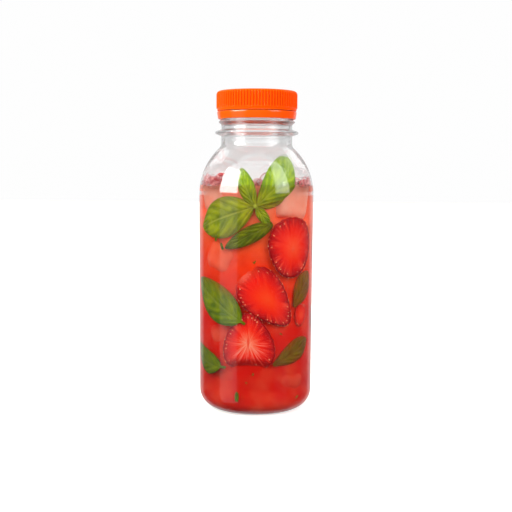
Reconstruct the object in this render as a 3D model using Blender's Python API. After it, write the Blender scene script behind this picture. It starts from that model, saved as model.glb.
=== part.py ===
"""Clear plastic bottle with a ribbed screw cap, holding an iced strawberry and basil drink.

Metres, +Z up. The origin is the centre of the flat ring that the bottle stands on, and the front
of the bottle faces -Y. Every size below is in millimetres and is turned into metres by MM.
"""
import math

import bmesh
import bpy
from mathutils import Matrix, Vector

MM = 0.001
CLEARANCE = 0.3
SIDES = 44

# Body, from the floor up
BODY_RADIUS = 29.2
FOOT_RADIUS = 28.8
HEEL_RADIUS = 9.6
FOOT_RING_INSIDE = 17.4
PUSH_UP = 5.0
SHOULDER_START = 110.0
SHOULDER_RADIUS = 31.8
NECK_FILLET = 4.0

# Neck and mouth
NECK_RADIUS = 18.05
NECK_START = 136.0
SUPPORT_RING_RADIUS = 21.3
SUPPORT_RING_HEIGHT = 141.1
SUPPORT_RING_HALF = 0.75
SUPPORT_RING_ROOT = 1.6
RING_EDGE = 0.3
BEAD_RADIUS = 19.5
BEAD_HEIGHT = 146.5
BEAD_HALF = 0.15
BEAD_SLOPE_BELOW = 1.3
BEAD_SLOPE_ABOVE = 1.2
FINISH_RADIUS = 18.2
MOUTH_HEIGHT = 160.3
MOUTH_BORE = 16.4
LIP_EDGE = 0.3

# Wall
BODY_WALL = 0.5
NECK_WALL = NECK_RADIUS - MOUTH_BORE
WALL_THICKENS_FROM = 122.0
BASE_WALL = 0.9

# Cap and its tear-off band
CAP_RADIUS = 20.6
CAP_BOTTOM = 152.1
CAP_TOP = 162.1
CAP_BORE = 18.7
CAP_TOP_THICKNESS = 1.4
CAP_EDGE_RADIUS = 1.9
CAP_FOOT_HEIGHT = 1.2
RIBS = 84
RIB_DEPTH = 0.45
BAND_RADIUS = 20.2
BAND_BOTTOM = 147.9
BAND_TOP = 151.7
BAND_BORE = 18.9
BAND_TAPER = 0.4

# Drink
LEVEL = 114.6
RIPPLE = 0.45

# Colours
CLEAR_PLASTIC = (0.90, 0.92, 0.93, 0.25)
ORANGE = (1.0, 0.19, 0.01, 1.0)
DRINK_RED = (0.86, 0.13, 0.07, 0.8)
ICE_PINK = (0.95, 0.62, 0.52, 0.7)
BASIL_GREEN = (0.12, 0.30, 0.02, 1.0)

# Basil leaves of the sprig, each from its stalk to its tip. A place on the wall is given as the
# angle from the front, to the right, in degrees, then the height, then the depth behind the wall.
SPRIG_NODE = (-1.0, 104.6, 3.2)
SPRIG_NODE_RADIUS = 1.3
SPRIG_LEAVES = [
    {"stalk": (-2.0, 104.6, 3.2), "tip": (-19.5, 123.2, 3.4), "width": 8.8, "fullest": 0.50,
     "curl": 0.8, "cup": 0.5},
    {"stalk": (1.0, 105.0, 3.2), "tip": (51.0, 128.4, 2.4), "width": 17.0, "fullest": 0.56,
     "curl": 0.7, "cup": 0.8},
    {"stalk": (1.5, 105.0, 3.4), "tip": (36.0, 111.2, 4.2), "width": 8.0, "fullest": 0.48,
     "curl": -0.4, "cup": 0.3},
    {"stalk": (-3.0, 104.4, 3.2), "tip": (-71.0, 93.5, 2.2), "width": 20.0, "fullest": 0.50,
     "curl": 0.3, "cup": 0.6},
    {"stalk": (0.0, 104.2, 3.2), "tip": (14.5, 95.4, 2.4), "width": 5.6, "fullest": 0.45,
     "curl": 0.4, "cup": 0.4},
]
LEAF_THICKNESS = 0.8
LEAF_ROWS = 10
LEAF_COLUMNS = 6
LEAF_ROOT_WIDTH = 1.4
LEAF_TIP_WIDTH = 0.5
LEAF_WAVE = 0.22
LEAF_WAVES = 2.5

# Ice that breaks the surface: direction from the axis, distance, middle height, size, tilt
ICE_BLOCKS = {
    "ice_right": {"facing": 54.0, "out": 14.3, "height": 109.0, "size": (21.0, 16.5, 23.0), "tilt": 11.0},
    "ice_left": {"facing": -68.0, "out": 15.4, "height": 110.6, "size": (16.5, 14.5, 19.5), "tilt": -14.0},
}
ICE_EDGE = 3.6
ICE_DENT = 0.5


def arc(centre, radius, start, end, steps):
    """Points along an arc in the outline's plane, as (distance from the axis, height)."""
    points = []
    for step in range(steps + 1):
        angle = math.radians(start + (end - start) * step / steps)
        points.append((centre[0] + radius * math.cos(angle), centre[1] + radius * math.sin(angle)))
    return points


def shoulder_centre():
    """Middle of the shoulder's arc, set so that it runs on from the body's wall."""
    return (BODY_RADIUS - SHOULDER_RADIUS, SHOULDER_START)


def neck_fillet_centre():
    """Middle of the hollow arc that leads from the shoulder into the neck, near NECK_START."""
    across = NECK_RADIUS + NECK_FILLET
    reach = SHOULDER_RADIUS + NECK_FILLET
    run = across - shoulder_centre()[0]
    return (across, SHOULDER_START + math.sqrt(reach ** 2 - run ** 2))


def shoulder_end():
    """Height at which the shoulder's arc meets the hollow arc."""
    rise = neck_fillet_centre()[1] - SHOULDER_START
    return SHOULDER_START + rise * SHOULDER_RADIUS / (SHOULDER_RADIUS + NECK_FILLET)


def outside_radius(height):
    """Radius of the bottle's outer face between the heel and the support ring."""
    fillet = neck_fillet_centre()
    if height >= fillet[1]:
        return NECK_RADIUS
    if height >= shoulder_end():
        return fillet[0] - math.sqrt(NECK_FILLET ** 2 - (fillet[1] - height) ** 2)
    if height >= SHOULDER_START:
        return shoulder_centre()[0] + math.sqrt(SHOULDER_RADIUS ** 2 - (height - SHOULDER_START) ** 2)
    if height >= HEEL_RADIUS:
        share = (height - HEEL_RADIUS) / (SHOULDER_START - HEEL_RADIUS)
        return FOOT_RADIUS + (BODY_RADIUS - FOOT_RADIUS) * share
    return FOOT_RADIUS - HEEL_RADIUS + math.sqrt(HEEL_RADIUS ** 2 - (HEEL_RADIUS - height) ** 2)


def wall_thickness(height):
    """The wall is thin on the blown body and thick on the moulded neck."""
    share = (height - WALL_THICKENS_FROM) / (NECK_START - WALL_THICKENS_FROM)
    share = min(1.0, max(0.0, share))
    return BODY_WALL + (NECK_WALL - BODY_WALL) * share * share * (3.0 - 2.0 * share)


def inside_radius(height):
    """Radius of the bottle's inner face above the heel."""
    return outside_radius(height) - wall_thickness(height)


def heights_up(start, end, steps):
    """Evenly spaced heights, both ends included."""
    return [start + (end - start) * step / steps for step in range(steps + 1)]


def push_up_outline(rim, lift, steps):
    """Half of the raised middle of the base, from the axis out to its rim."""
    points = []
    for step in range(steps + 1):
        angle = math.radians(90.0 * (1.0 - step / steps))
        points.append((rim * math.cos(angle), lift + PUSH_UP * math.sin(angle)))
    return points


def bottle_outline():
    """Closed outline of the bottle: up its outside, over the lip and down its inside."""
    heel = (FOOT_RADIUS - HEEL_RADIUS, HEEL_RADIUS)
    ring = SUPPORT_RING_HEIGHT
    outline = push_up_outline(FOOT_RING_INSIDE, 0.0, 4)
    outline += arc(heel, HEEL_RADIUS, -90.0, 0.0, 6)
    bead = BEAD_HEIGHT
    outline += [(outside_radius(height), height) for height in heights_up(SHOULDER_START, shoulder_end(), 6)]
    outline += [(outside_radius(height), height) for height in heights_up(shoulder_end(), NECK_START, 2)[1:]]
    outline += [
        (NECK_RADIUS, ring - SUPPORT_RING_ROOT),
        (SUPPORT_RING_RADIUS - RING_EDGE, ring - SUPPORT_RING_HALF),
        (SUPPORT_RING_RADIUS, ring - SUPPORT_RING_HALF + RING_EDGE),
        (SUPPORT_RING_RADIUS, ring + SUPPORT_RING_HALF - RING_EDGE),
        (SUPPORT_RING_RADIUS - RING_EDGE, ring + SUPPORT_RING_HALF),
        (NECK_RADIUS, ring + SUPPORT_RING_ROOT),
        (NECK_RADIUS, bead - BEAD_SLOPE_BELOW),
        (BEAD_RADIUS, bead - BEAD_HALF),
        (BEAD_RADIUS, bead + BEAD_HALF),
        (FINISH_RADIUS, bead + BEAD_SLOPE_ABOVE),
        (FINISH_RADIUS, MOUTH_HEIGHT - LIP_EDGE),
        (FINISH_RADIUS - LIP_EDGE, MOUTH_HEIGHT),
        (MOUTH_BORE + LIP_EDGE, MOUTH_HEIGHT),
        (MOUTH_BORE, MOUTH_HEIGHT - LIP_EDGE),
    ]
    outline += [(inside_radius(height), height) for height in heights_up(NECK_START, SHOULDER_START, 6)]
    outline += inside_base_outline(0.0)
    return outline


def inside_base_outline(inset):
    """The inner face from the body down round the heel to the axis, set in by a clearance."""
    heel = (FOOT_RADIUS - HEEL_RADIUS, HEEL_RADIUS)
    outline = arc(heel, HEEL_RADIUS - BODY_WALL - inset, 0.0, -90.0, 6)
    dome = push_up_outline(FOOT_RING_INSIDE + BASE_WALL, BASE_WALL + inset, 4)
    outline += reversed(dome)
    return outline


def drink_outline():
    """Closed outline of the drink: up beside the wall, then in along its surface."""
    outline = list(reversed(inside_base_outline(CLEARANCE)))
    heights = heights_up(HEEL_RADIUS, SHOULDER_START, 5)[1:] + [LEVEL]
    outline += [(inside_radius(height) - CLEARANCE, height) for height in heights]
    edge = outline[-1][0]
    outline += [(edge * share, LEVEL) for share in (0.7, 0.35, 0.0)]
    return outline


def cap_outline():
    """Closed outline of the cap, from the middle of its top, round the skirt, to its underside."""
    edge = (CAP_RADIUS - CAP_EDGE_RADIUS, CAP_TOP - CAP_EDGE_RADIUS)
    outline = [(0.0, CAP_TOP)]
    outline += arc(edge, CAP_EDGE_RADIUS, 90.0, 0.0, 2)
    outline += [
        (CAP_RADIUS, CAP_BOTTOM + CAP_FOOT_HEIGHT),
        (CAP_RADIUS - RIB_DEPTH, CAP_BOTTOM + 0.8 * CAP_FOOT_HEIGHT),
        (CAP_RADIUS - RIB_DEPTH, CAP_BOTTOM),
        (CAP_BORE, CAP_BOTTOM),
        (CAP_BORE, CAP_TOP - CAP_TOP_THICKNESS),
        (0.0, CAP_TOP - CAP_TOP_THICKNESS),
    ]
    return outline


def band_outline():
    """Closed outline of the tear-off band, which narrows a little towards its lower edge."""
    return [
        (BAND_BORE, BAND_TOP),
        (BAND_RADIUS, BAND_TOP),
        (BAND_RADIUS, BAND_TOP - 0.9),
        (BAND_RADIUS - BAND_TAPER, BAND_BOTTOM + 0.3),
        (BAND_RADIUS - BAND_TAPER - 0.3, BAND_BOTTOM),
        (BAND_BORE, BAND_BOTTOM),
    ]


def plastic(name, colour, roughness):
    """A plain material with its colour, gloss and see-through share."""
    material = bpy.data.materials.new(name)
    material.use_nodes = True
    shader = material.node_tree.nodes["Principled BSDF"]
    shader.inputs["Base Color"].default_value = colour[:3] + (1.0,)
    shader.inputs["Roughness"].default_value = roughness
    shader.inputs["Metallic"].default_value = 0.0
    shader.inputs["Alpha"].default_value = colour[3]
    material.diffuse_color = colour
    return material


def place(name, shape, material=None):
    """Turn a finished bmesh, in millimetres, into a named object in metres."""
    bmesh.ops.recalc_face_normals(shape, faces=shape.faces)
    bmesh.ops.scale(shape, vec=(MM, MM, MM), verts=shape.verts)
    mesh = bpy.data.meshes.new(name)
    shape.to_mesh(mesh)
    shape.free()
    mesh.shade_smooth()
    mesh.set_sharp_from_angle(angle=math.radians(35.0))
    piece = bpy.data.objects.new(name, mesh)
    if material:
        mesh.materials.append(material)
    bpy.context.scene.collection.objects.link(piece)
    return piece


def turned(outline, sides):
    """Spin a closed outline, or one that starts and ends on the axis, into a solid."""
    shape = bmesh.new()
    corners = [shape.verts.new((radius, 0.0, height)) for radius, height in outline]
    edges = [shape.edges.new(pair) for pair in zip(corners, corners[1:])]
    if outline[0][0] > 0.0:
        edges.append(shape.edges.new((corners[-1], corners[0])))
    bmesh.ops.spin(
        shape, geom=corners + edges, cent=(0, 0, 0), axis=(0, 0, 1),
        angle=2.0 * math.pi, steps=sides, use_merge=True,
    )
    bmesh.ops.remove_doubles(shape, verts=shape.verts, dist=0.001)
    return shape


def make_bottle(material):
    """One blown piece: body, shoulder, neck with support ring and bead, open at the mouth."""
    return place("bottle", turned(bottle_outline(), SIDES), material)


def make_cap(material):
    """Turned cap whose skirt is grooved between its ribs."""
    sides = 2 * RIBS
    shape = turned(cap_outline(), sides)
    low = CAP_BOTTOM + 0.9 * CAP_FOOT_HEIGHT
    high = CAP_TOP - 0.7 * CAP_EDGE_RADIUS
    for corner in shape.verts:
        radius = math.hypot(corner.co.x, corner.co.y)
        turn = round(math.atan2(corner.co.y, corner.co.x) / (2.0 * math.pi) * sides)
        if turn % 2 and radius > CAP_BORE + RIB_DEPTH and low < corner.co.z < high:
            corner.co.xy *= (radius - RIB_DEPTH) / radius
    return place("cap", shape, material)


def make_seal_band(material):
    """The band that stays on the neck when the cap is opened."""
    return place("seal_band", turned(band_outline(), SIDES), material)


def on_wall(angle, height, depth):
    """Point behind the bottle's wall; the angle is measured from the front, to the right."""
    radius = inside_radius(height) - depth
    turn = math.radians(angle)
    return Vector((radius * math.sin(turn), -radius * math.cos(turn), height))


def leaf_half_width(share, width, fullest):
    """Half of a basil leaf's width at a share of its length; fullest is where it is widest."""
    shift = math.log(0.5) / math.log(fullest)
    swell = max(0.0, math.sin(math.pi * share ** shift)) ** 0.7
    ends = LEAF_ROOT_WIDTH * (1.0 - share) + LEAF_TIP_WIDTH * share
    return 0.5 * (ends + (width - ends) * swell)


def make_leaf(leaf, grow=0.0):
    """A thin wavy solid that lies behind the wall, with both faces split alike.

    The leaf's middle line runs from stalk to tip over the unrolled wall. A grown leaf is the
    same leaf with that much added all round.
    """
    shape = bmesh.new()
    stalk, tip = Vector(leaf["stalk"]), Vector(leaf["tip"])
    reach = math.radians(1.0) * inside_radius(0.5 * (stalk.y + tip.y))
    along = Vector(((tip.x - stalk.x) * reach, tip.y - stalk.y))
    length = along.length
    along.normalize()
    across = Vector((-along.y, along.x))
    sheets = {}
    for side in (-1.0, 1.0):
        for row in range(LEAF_ROWS + 1):
            share = row / LEAF_ROWS
            run = share * (length + 2.0 * grow) - grow
            half = leaf_half_width(share, leaf["width"], leaf["fullest"]) + grow
            for column in range(LEAF_COLUMNS + 1):
                offset = 2.0 * column / LEAF_COLUMNS - 1.0
                flat = along * run + across * (half * offset)
                wave = LEAF_WAVE * math.sin(2.0 * math.pi * LEAF_WAVES * share) * abs(offset)
                depth = stalk.z + (tip.z - stalk.z) * share - leaf["curl"] * math.sin(math.pi * share)
                depth += leaf["cup"] * offset * offset * math.sin(math.pi * share) + wave
                depth += side * (0.5 * LEAF_THICKNESS + grow)
                point = on_wall(stalk.x + flat.x / reach, stalk.y + flat.y, depth)
                sheets[side, row, column] = shape.verts.new(point)
    for row in range(LEAF_ROWS):
        for column in range(LEAF_COLUMNS):
            close_quad(shape, sheets, row, column)
    close_rim(shape, sheets)
    return shape


def close_quad(shape, sheets, row, column):
    """Two triangles on each face of the leaf, split along the same diagonal."""
    for side in (-1.0, 1.0):
        low_left = sheets[side, row, column]
        low_right = sheets[side, row, column + 1]
        high_right = sheets[side, row + 1, column + 1]
        high_left = sheets[side, row + 1, column]
        shape.faces.new((low_left, low_right, high_right))
        shape.faces.new((low_left, high_right, high_left))


def close_rim(shape, sheets):
    """The narrow edge of the leaf, all the way round."""
    rim = [(0, column) for column in range(LEAF_COLUMNS)]
    rim += [(row, LEAF_COLUMNS) for row in range(LEAF_ROWS)]
    rim += [(LEAF_ROWS, column) for column in range(LEAF_COLUMNS, 0, -1)]
    rim += [(row, 0) for row in range(LEAF_ROWS, 0, -1)]
    for here, there in zip(rim, rim[1:] + rim[:1]):
        shape.faces.new((
            sheets[(-1.0,) + here], sheets[(-1.0,) + there],
            sheets[(1.0,) + there], sheets[(1.0,) + here],
        ))


def make_sprig(name, material=None, grow=0.0):
    """The leaves and the knob of stalk between them, joined into one solid."""
    bud = bmesh.new()
    bmesh.ops.create_icosphere(
        bud, subdivisions=2, radius=SPRIG_NODE_RADIUS + grow,
        matrix=Matrix.Translation(on_wall(*SPRIG_NODE)),
    )
    sprig = place(name, bud, material)
    leaves = bpy.data.collections.new(name + "_leaves")
    bpy.context.scene.collection.children.link(leaves)
    for number, leaf in enumerate(SPRIG_LEAVES):
        piece = place(f"{name}_leaf_{number}", make_leaf(leaf, grow), material)
        bpy.context.scene.collection.objects.unlink(piece)
        leaves.objects.link(piece)
    union = sprig.modifiers.new("join", "BOOLEAN")
    union.operation = "UNION"
    union.operand_type = "COLLECTION"
    union.collection = leaves
    settle(sprig)
    for piece in list(leaves.objects):
        bpy.data.objects.remove(piece)
    bpy.data.collections.remove(leaves)
    return sprig


def settle(piece):
    """Keep the piece's shape as its modifiers leave it, without the modifiers."""
    graph = bpy.context.evaluated_depsgraph_get()
    mesh = bpy.data.meshes.new_from_object(piece.evaluated_get(graph))
    piece.modifiers.clear()
    piece.data = mesh


def make_ice(name, block, material=None, grow=0.0):
    """A melting ice block: rounded edges, slightly hollow faces, tilted in the drink."""
    shape = bmesh.new()
    bmesh.ops.create_cube(shape, size=1.0)
    size = [measure + 2.0 * grow for measure in block["size"]]
    bmesh.ops.scale(shape, vec=size, verts=shape.verts)
    bmesh.ops.subdivide_edges(shape, edges=shape.edges, cuts=1, use_grid_fill=True)
    for corner in shape.verts:
        hollow = sum(1 for value in corner.co if abs(value) < 0.001) == 2
        if hollow:
            corner.co -= corner.co.normalized() * ICE_DENT
    edges = [edge for edge in shape.edges if edge.calc_face_angle() > math.radians(45.0)]
    bmesh.ops.bevel(
        shape, geom=edges, offset=ICE_EDGE + grow, segments=3, profile=0.5,
        affect="EDGES", clamp_overlap=True,
    )
    turn = math.radians(block["facing"])
    place_at = Vector((math.sin(turn), -math.cos(turn), 0.0)) * block["out"]
    place_at.z = block["height"]
    matrix = Matrix.Translation(place_at) @ Matrix.Rotation(turn, 4, "Z")
    matrix = matrix @ Matrix.Rotation(math.radians(block["tilt"]), 4, "Y")
    bmesh.ops.transform(shape, matrix=matrix, verts=shape.verts)
    return place(name, shape, material)


def ripple_height(x, y):
    """Small unevenness of the drink's surface."""
    return RIPPLE * (math.sin(0.21 * x + 0.7) * math.cos(0.17 * y - 0.4) + 0.4 * math.sin(0.33 * (x - y)))


def make_drink(material, cutters):
    """The drink up to its level, cut round the sprig and the ice with a clearance."""
    shape = turned(drink_outline(), SIDES)
    for corner in shape.verts:
        if corner.co.z > LEVEL - 0.01:
            corner.co.z += ripple_height(corner.co.x, corner.co.y)
    drink = place("drink", shape, material)
    for cutter in cutters:
        cutter.hide_render = True
        cutter.display_type = "WIRE"
        cut = drink.modifiers.new(cutter.name, "BOOLEAN")
        cut.operation = "DIFFERENCE"
        cut.object = cutter
    return drink


def main():
    for piece in list(bpy.data.objects):
        bpy.data.objects.remove(piece)
    clear = plastic("clear_plastic", CLEAR_PLASTIC, 0.05)
    orange = plastic("orange_plastic", ORANGE, 0.35)
    make_bottle(clear)
    make_cap(orange)
    make_seal_band(orange)
    basil = plastic("basil", BASIL_GREEN, 0.4)
    make_sprig("basil_sprig", basil)
    cutters = [make_sprig("sprig_cutter", grow=CLEARANCE)]
    ice = plastic("ice", ICE_PINK, 0.1)
    for name, block in ICE_BLOCKS.items():
        make_ice(name, block, ice)
        cutters.append(make_ice(name + "_cutter", block, grow=CLEARANCE))
    make_drink(plastic("drink", DRINK_RED, 0.1), cutters)


main()
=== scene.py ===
"""Looks of the clear plastic bottle with its iced strawberry and basil drink.

Shapes are worked out in millimetres and turned into metres by MM. The bottle's front faces -Y.
A place in the drink is given as an angle from the front, to the right, in degrees, a height and
a depth behind the bottle's inner face.
"""
import random
from itertools import product
from math import asin, atan2, copysign, cos, degrees, exp, hypot, log, pi, radians, sin, sqrt, tau
from typing import NamedTuple

import bmesh
import bpy
from mathutils import Matrix, Vector, noise

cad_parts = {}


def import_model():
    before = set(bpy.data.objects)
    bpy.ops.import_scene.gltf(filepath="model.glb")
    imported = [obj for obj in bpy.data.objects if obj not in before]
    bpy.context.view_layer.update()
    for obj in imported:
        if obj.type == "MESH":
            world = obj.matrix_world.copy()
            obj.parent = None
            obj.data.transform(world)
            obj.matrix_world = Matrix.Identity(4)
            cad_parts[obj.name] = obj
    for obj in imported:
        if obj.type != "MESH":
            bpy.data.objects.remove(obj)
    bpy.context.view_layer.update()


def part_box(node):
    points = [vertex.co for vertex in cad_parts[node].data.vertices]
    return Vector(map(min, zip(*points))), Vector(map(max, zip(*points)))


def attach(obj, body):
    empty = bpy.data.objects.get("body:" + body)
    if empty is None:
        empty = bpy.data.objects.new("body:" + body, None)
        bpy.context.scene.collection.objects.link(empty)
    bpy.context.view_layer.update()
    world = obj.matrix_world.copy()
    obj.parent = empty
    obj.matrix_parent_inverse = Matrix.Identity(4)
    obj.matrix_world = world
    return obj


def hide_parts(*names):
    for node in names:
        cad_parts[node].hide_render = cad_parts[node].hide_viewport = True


MM = 0.001
SEED = 7
SHARP_ANGLE = 50.0
TINY = 1e-6


class Leaf(NamedTuple):
    """A basil leaf from stalk to tip, which are places in the drink, and the form it has."""

    stalk: tuple
    tip: tuple
    width: float
    fullest: float
    curl: float
    cup: float
    shade: float = 1.0
    stem: float = 0.0
    roll: float = 0.0
    bend: float = 0.0


class Berry(NamedTuple):
    """A slice of strawberry: its middle, half its width and length, the turn of its tip from
    straight down, its taper towards the tip, how pale its heart is and the slot in it."""

    at: tuple
    half: tuple
    turn: float
    taper: float
    pale: float
    slot: tuple = (0.0, 0.0)
    dip: float = 0.1
    hull: float = 0.5
    sink: float = 0.0


class Ice(NamedTuple):
    """A block of ice: the way it faces, its distance from the axis, its height, size and tilt."""

    facing: float
    out: float
    height: float
    size: tuple
    tilt: float


# Camera, fitted to the outline of the bottle in the photograph
CAMERA_PLACE = (0.0, -0.492, 0.1232)
CAMERA_PITCH = 5.24
CAMERA_ROLL = 0.35
CAMERA_LENS = 67.3

# Studio: softboxes as the gloss mirrors them, in degrees from behind the camera and above the
# horizon (left, right, low, high, strength), and how bright the rest of it is
PANELS = [
    (-78.0, -38.0, 2.6, 41.0, 19.0),
    (39.5, 69.5, 2.6, 56.0, 5.5),
    (-78.0, -38.0, -40.0, 2.6, 0.75),
    (39.5, 69.5, -40.0, 2.6, 0.12),
    (56.0, 61.0, 14.0, 20.0, 9.0),
]
PANEL_SIDE_BLUR = 2.5
PANEL_END_BLUR = 1.6
DIM_FRONT = 0.05
# Where the rest of the mirrored studio gets lighter, in degrees round or up, from dim to full
BACK_WALL = (126.0, 146.0)
RIGHT_WALL = (104.0, 120.0, 0.0, 0.25)
WIDE_WALL = (96.0, 122.0)
WIDE_WALL_HEIGHT = (4.0, 14.0)
HIGH_WALL = (66.0, 96.0)
HIGH_WALL_HEIGHT = (14.0, 30.0)
CEILING = (50.0, 72.0)
BACKDROP = 0.7
# How bright the studio is through the clear plastic, and where it gets full
CLEAR_LEVEL = 0.9
CLEAR_VIEW = (70.0, 110.0)
DIFFUSE_LEFT = (0.92, 1.10, 0.75)
DIFFUSE_RIGHT = (0.82, 0.34, 0.34)
FLOOR_SIZE = 6.0
LAMPS_AIM = 0.09
# Lamps: name, degrees round from behind the camera, degrees up, distance, size, power
LAMPS = [
    ("softbox_left", -50.0, 35.0, 0.9, 0.6, 3.9),
    ("softbox_right", 50.0, 30.0, 1.0, 0.6, 4.4),
    ("softbox_back_left", -140.0, 40.0, 0.9, 0.6, 2.0),
    ("softbox_back_right", 140.0, 35.0, 1.0, 0.6, 2.4),
]

# Bottle, as in the part's source
HEEL_RADIUS = 9.6
FOOT_TAPER = 0.4
FOOT_RING_INSIDE = 17.4
PUSH_UP = 5.0
SHOULDER_START = 110.0
SHOULDER_RADIUS = 31.8
NECK_FILLET = 4.0
NECK_RADIUS = 18.05
NECK_START = 136.0
SUPPORT_RING_RADIUS = 21.3
SUPPORT_RING_HEIGHT = 141.1
SUPPORT_RING_HALF = 0.75
SUPPORT_RING_ROOT = 1.6
RING_EDGE = 0.5
BEAD_RADIUS = 19.5
BEAD_HEIGHT = 146.5
BEAD_HALF = 0.15
BEAD_SLOPE_BELOW = 1.3
BEAD_SLOPE_ABOVE = 1.2
FINISH_RADIUS = 18.2
MOUTH_BORE = 16.4
LIP_EDGE = 0.3
BODY_WALL = 0.5
NECK_WALL = NECK_RADIUS - MOUTH_BORE
WALL_THICKENS_FROM = 122.0
BASE_WALL = 0.9
PLASTIC_IOR = 1.5
BOTTLE_SIDES = 192

# Cap and band
CAP_BORE = 18.7
CAP_TOP_THICKNESS = 1.4
CAP_TOP_SINK = 0.06
CAP_EDGE_RADIUS = 1.9
CAP_FOOT_HEIGHT = 1.2
RIBS = 84
RIB_DEPTH = 0.45
BAND_BORE = 18.9
BAND_TAPER = 0.4

# Drink
LEVEL = 114.6
RIPPLE = 0.45
INTO_WALL = 0.12
DRINK_SIDES = 160
CLOUD_SIDES = 128
CLOUD_DEPTH = 4.6
LIGHT_PULP = 0.25
DARK_PULP = 0.30
ICE_CLEARING = 4.2
WATER_IOR = 1.34
WETTED_MIRROR = 0.1
INSIDE_MIRROR = 0.35
STRAIGHT_THROUGH = 0.38
WETTED_GLOSS = 0.05
MENISCUS = 0.25

# Leaves, as in the part's source
SPRIG_NODE = (-1.0, 104.6, 3.2)
SPRIG_NODE_RADIUS = 1.3
SPRIG_LEAVES = [
    Leaf((-2.0, 104.6, 3.2), (-19.5, 123.2, 3.4), 8.8, 0.50, 0.8, 0.5),
    Leaf((1.0, 105.0, 3.2), (51.0, 128.4, 2.4), 17.0, 0.56, 0.7, 0.8),
    Leaf((1.5, 105.0, 3.4), (36.0, 111.2, 4.2), 8.0, 0.48, -0.4, 0.3),
    Leaf((-3.0, 104.4, 3.2), (-71.0, 93.5, 2.2), 20.0, 0.50, 0.3, 0.6),
    Leaf((0.0, 104.2, 3.2), (14.5, 95.4, 2.4), 5.6, 0.45, 0.4, 0.4),
]
LEAF_THICKNESS = 0.8
LEAF_ROOT_WIDTH = 1.4
LEAF_TIP_WIDTH = 0.5
LEAF_WAVE = 0.22
LEAF_WAVES = 2.5
VEINS = 5.0
VEIN_SLANT = 0.42
VEIN_BOW = 1.5
PUCKER = 0.17

# Leaves wholly in the drink
SUNK_LEAVES = [
    Leaf((16.0, 96.4, 2.4), (-32.0, 84.0, 2.0), 8.6, 0.45, 0.3, 0.5, shade=0.75),
    Leaf((-10.5, 46.9, 0.9), (-76.0, 67.0, 2.0), 18.2, 0.44, 0.3, 0.6, stem=0.07, roll=1.3),
    Leaf((41.5, 54.4, 3.3), (66.0, 71.4, 3.3), 13.0, 0.58, 0.2, 0.8, shade=0.58),
    Leaf((-31.0, 24.4, 1.4), (-81.0, 33.0, 2.0), 12.0, 0.42, 0.3, 0.6, 0.9, stem=0.12, bend=3.0),
    Leaf((18.0, 26.0, 3.3), (64.0, 36.8, 3.2), 11.4, 0.60, 0.2, 0.6, shade=0.58),
    Leaf((150.0, 88.0, 2.0), (205.0, 103.0, 2.0), 17.0, 0.48, 0.3, 0.7),
    Leaf((238.0, 42.0, 1.8), (194.0, 25.0, 2.2), 13.0, 0.5, 0.3, 0.6, shade=0.9),
    Leaf((118.0, 62.0, 1.8), (96.0, 41.0, 2.2), 11.0, 0.47, 0.3, 0.6, shade=0.8),
]

# Slices of strawberry, five of them round the back
BERRY_SLICES = [
    Berry((39.4, 84.2, 1.1), (13.3, 14.6), -8.0, 0.14, 0.10, (0.05, 0.10), dip=0.0, hull=0.0),
    Berry((11.4, 59.2, 1.1), (10.3, 17.0), 43.0, 0.36, 0.02, dip=0.04, hull=1.0, sink=3.0),
    Berry((-7.2, 37.4, 1.0), (12.2, 14.4), 180.0, 0.38, 0.85, (0.05, 0.24), dip=0.22, sink=4.6),
    Berry((52.5, 49.8, 3.2), (4.8, 5.8), -20.0, 0.2, 0.15),
    Berry((19.5, 50.0, 4.2), (8.0, 7.0), 60.0, 0.2, 0.0),
    Berry((170.0, 66.0, 1.2), (12.4, 15.0), 160.0, 0.36, 0.6, (0.05, 0.2)),
    Berry((228.0, 80.0, 1.3), (10.6, 13.5), 20.0, 0.38, 0.3, (0.04, 0.12)),
    Berry((122.0, 86.0, 1.3), (10.4, 13.0), -30.0, 0.36, 0.4, (0.05, 0.18)),
    Berry((212.0, 50.0, 1.4), (9.4, 12.0), 75.0, 0.36, 0.2),
    Berry((140.0, 34.0, 1.2), (11.0, 13.5), 200.0, 0.36, 0.5, (0.05, 0.2)),
]
SLICE_THICKNESS = 3.4
STREAKS = 11.0
SEEDS_AROUND = 30

# Ice: the two blocks that break the surface, as in the part's source, and what is sunk
ICE_BLOCKS = {
    "ice_right": Ice(54.0, 14.3, 109.0, (21.0, 16.5, 23.0), 11.0),
    "ice_left": Ice(-68.0, 15.4, 110.6, (16.5, 14.5, 19.5), -14.0),
}
SUNK_ICE = [
    Ice(-46.0, 16.8, 79.0, (18.0, 17.0, 18.0), 24.0),
    Ice(-44.0, 16.6, 40.5, (16.0, 17.0, 15.0), -18.0),
    Ice(47.0, 16.4, 17.5, (17.0, 17.0, 12.0), 14.0),
    Ice(-38.0, 15.8, 20.0, (15.0, 17.0, 13.0), 8.0),
    Ice(180.0, 16.6, 106.0, (19.0, 16.0, 14.0), 12.0),
    Ice(196.0, 16.8, 44.0, (17.0, 17.0, 17.0), 25.0),
    Ice(100.0, 16.8, 66.0, (16.0, 17.0, 17.0), -20.0),
    Ice(252.0, 16.8, 58.0, (15.0, 17.0, 19.0), 15.0),
]
ICE_EDGE = 4.8
SUNK_ICE_EDGE = 6.4
ICE_DENT = 0.5

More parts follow.
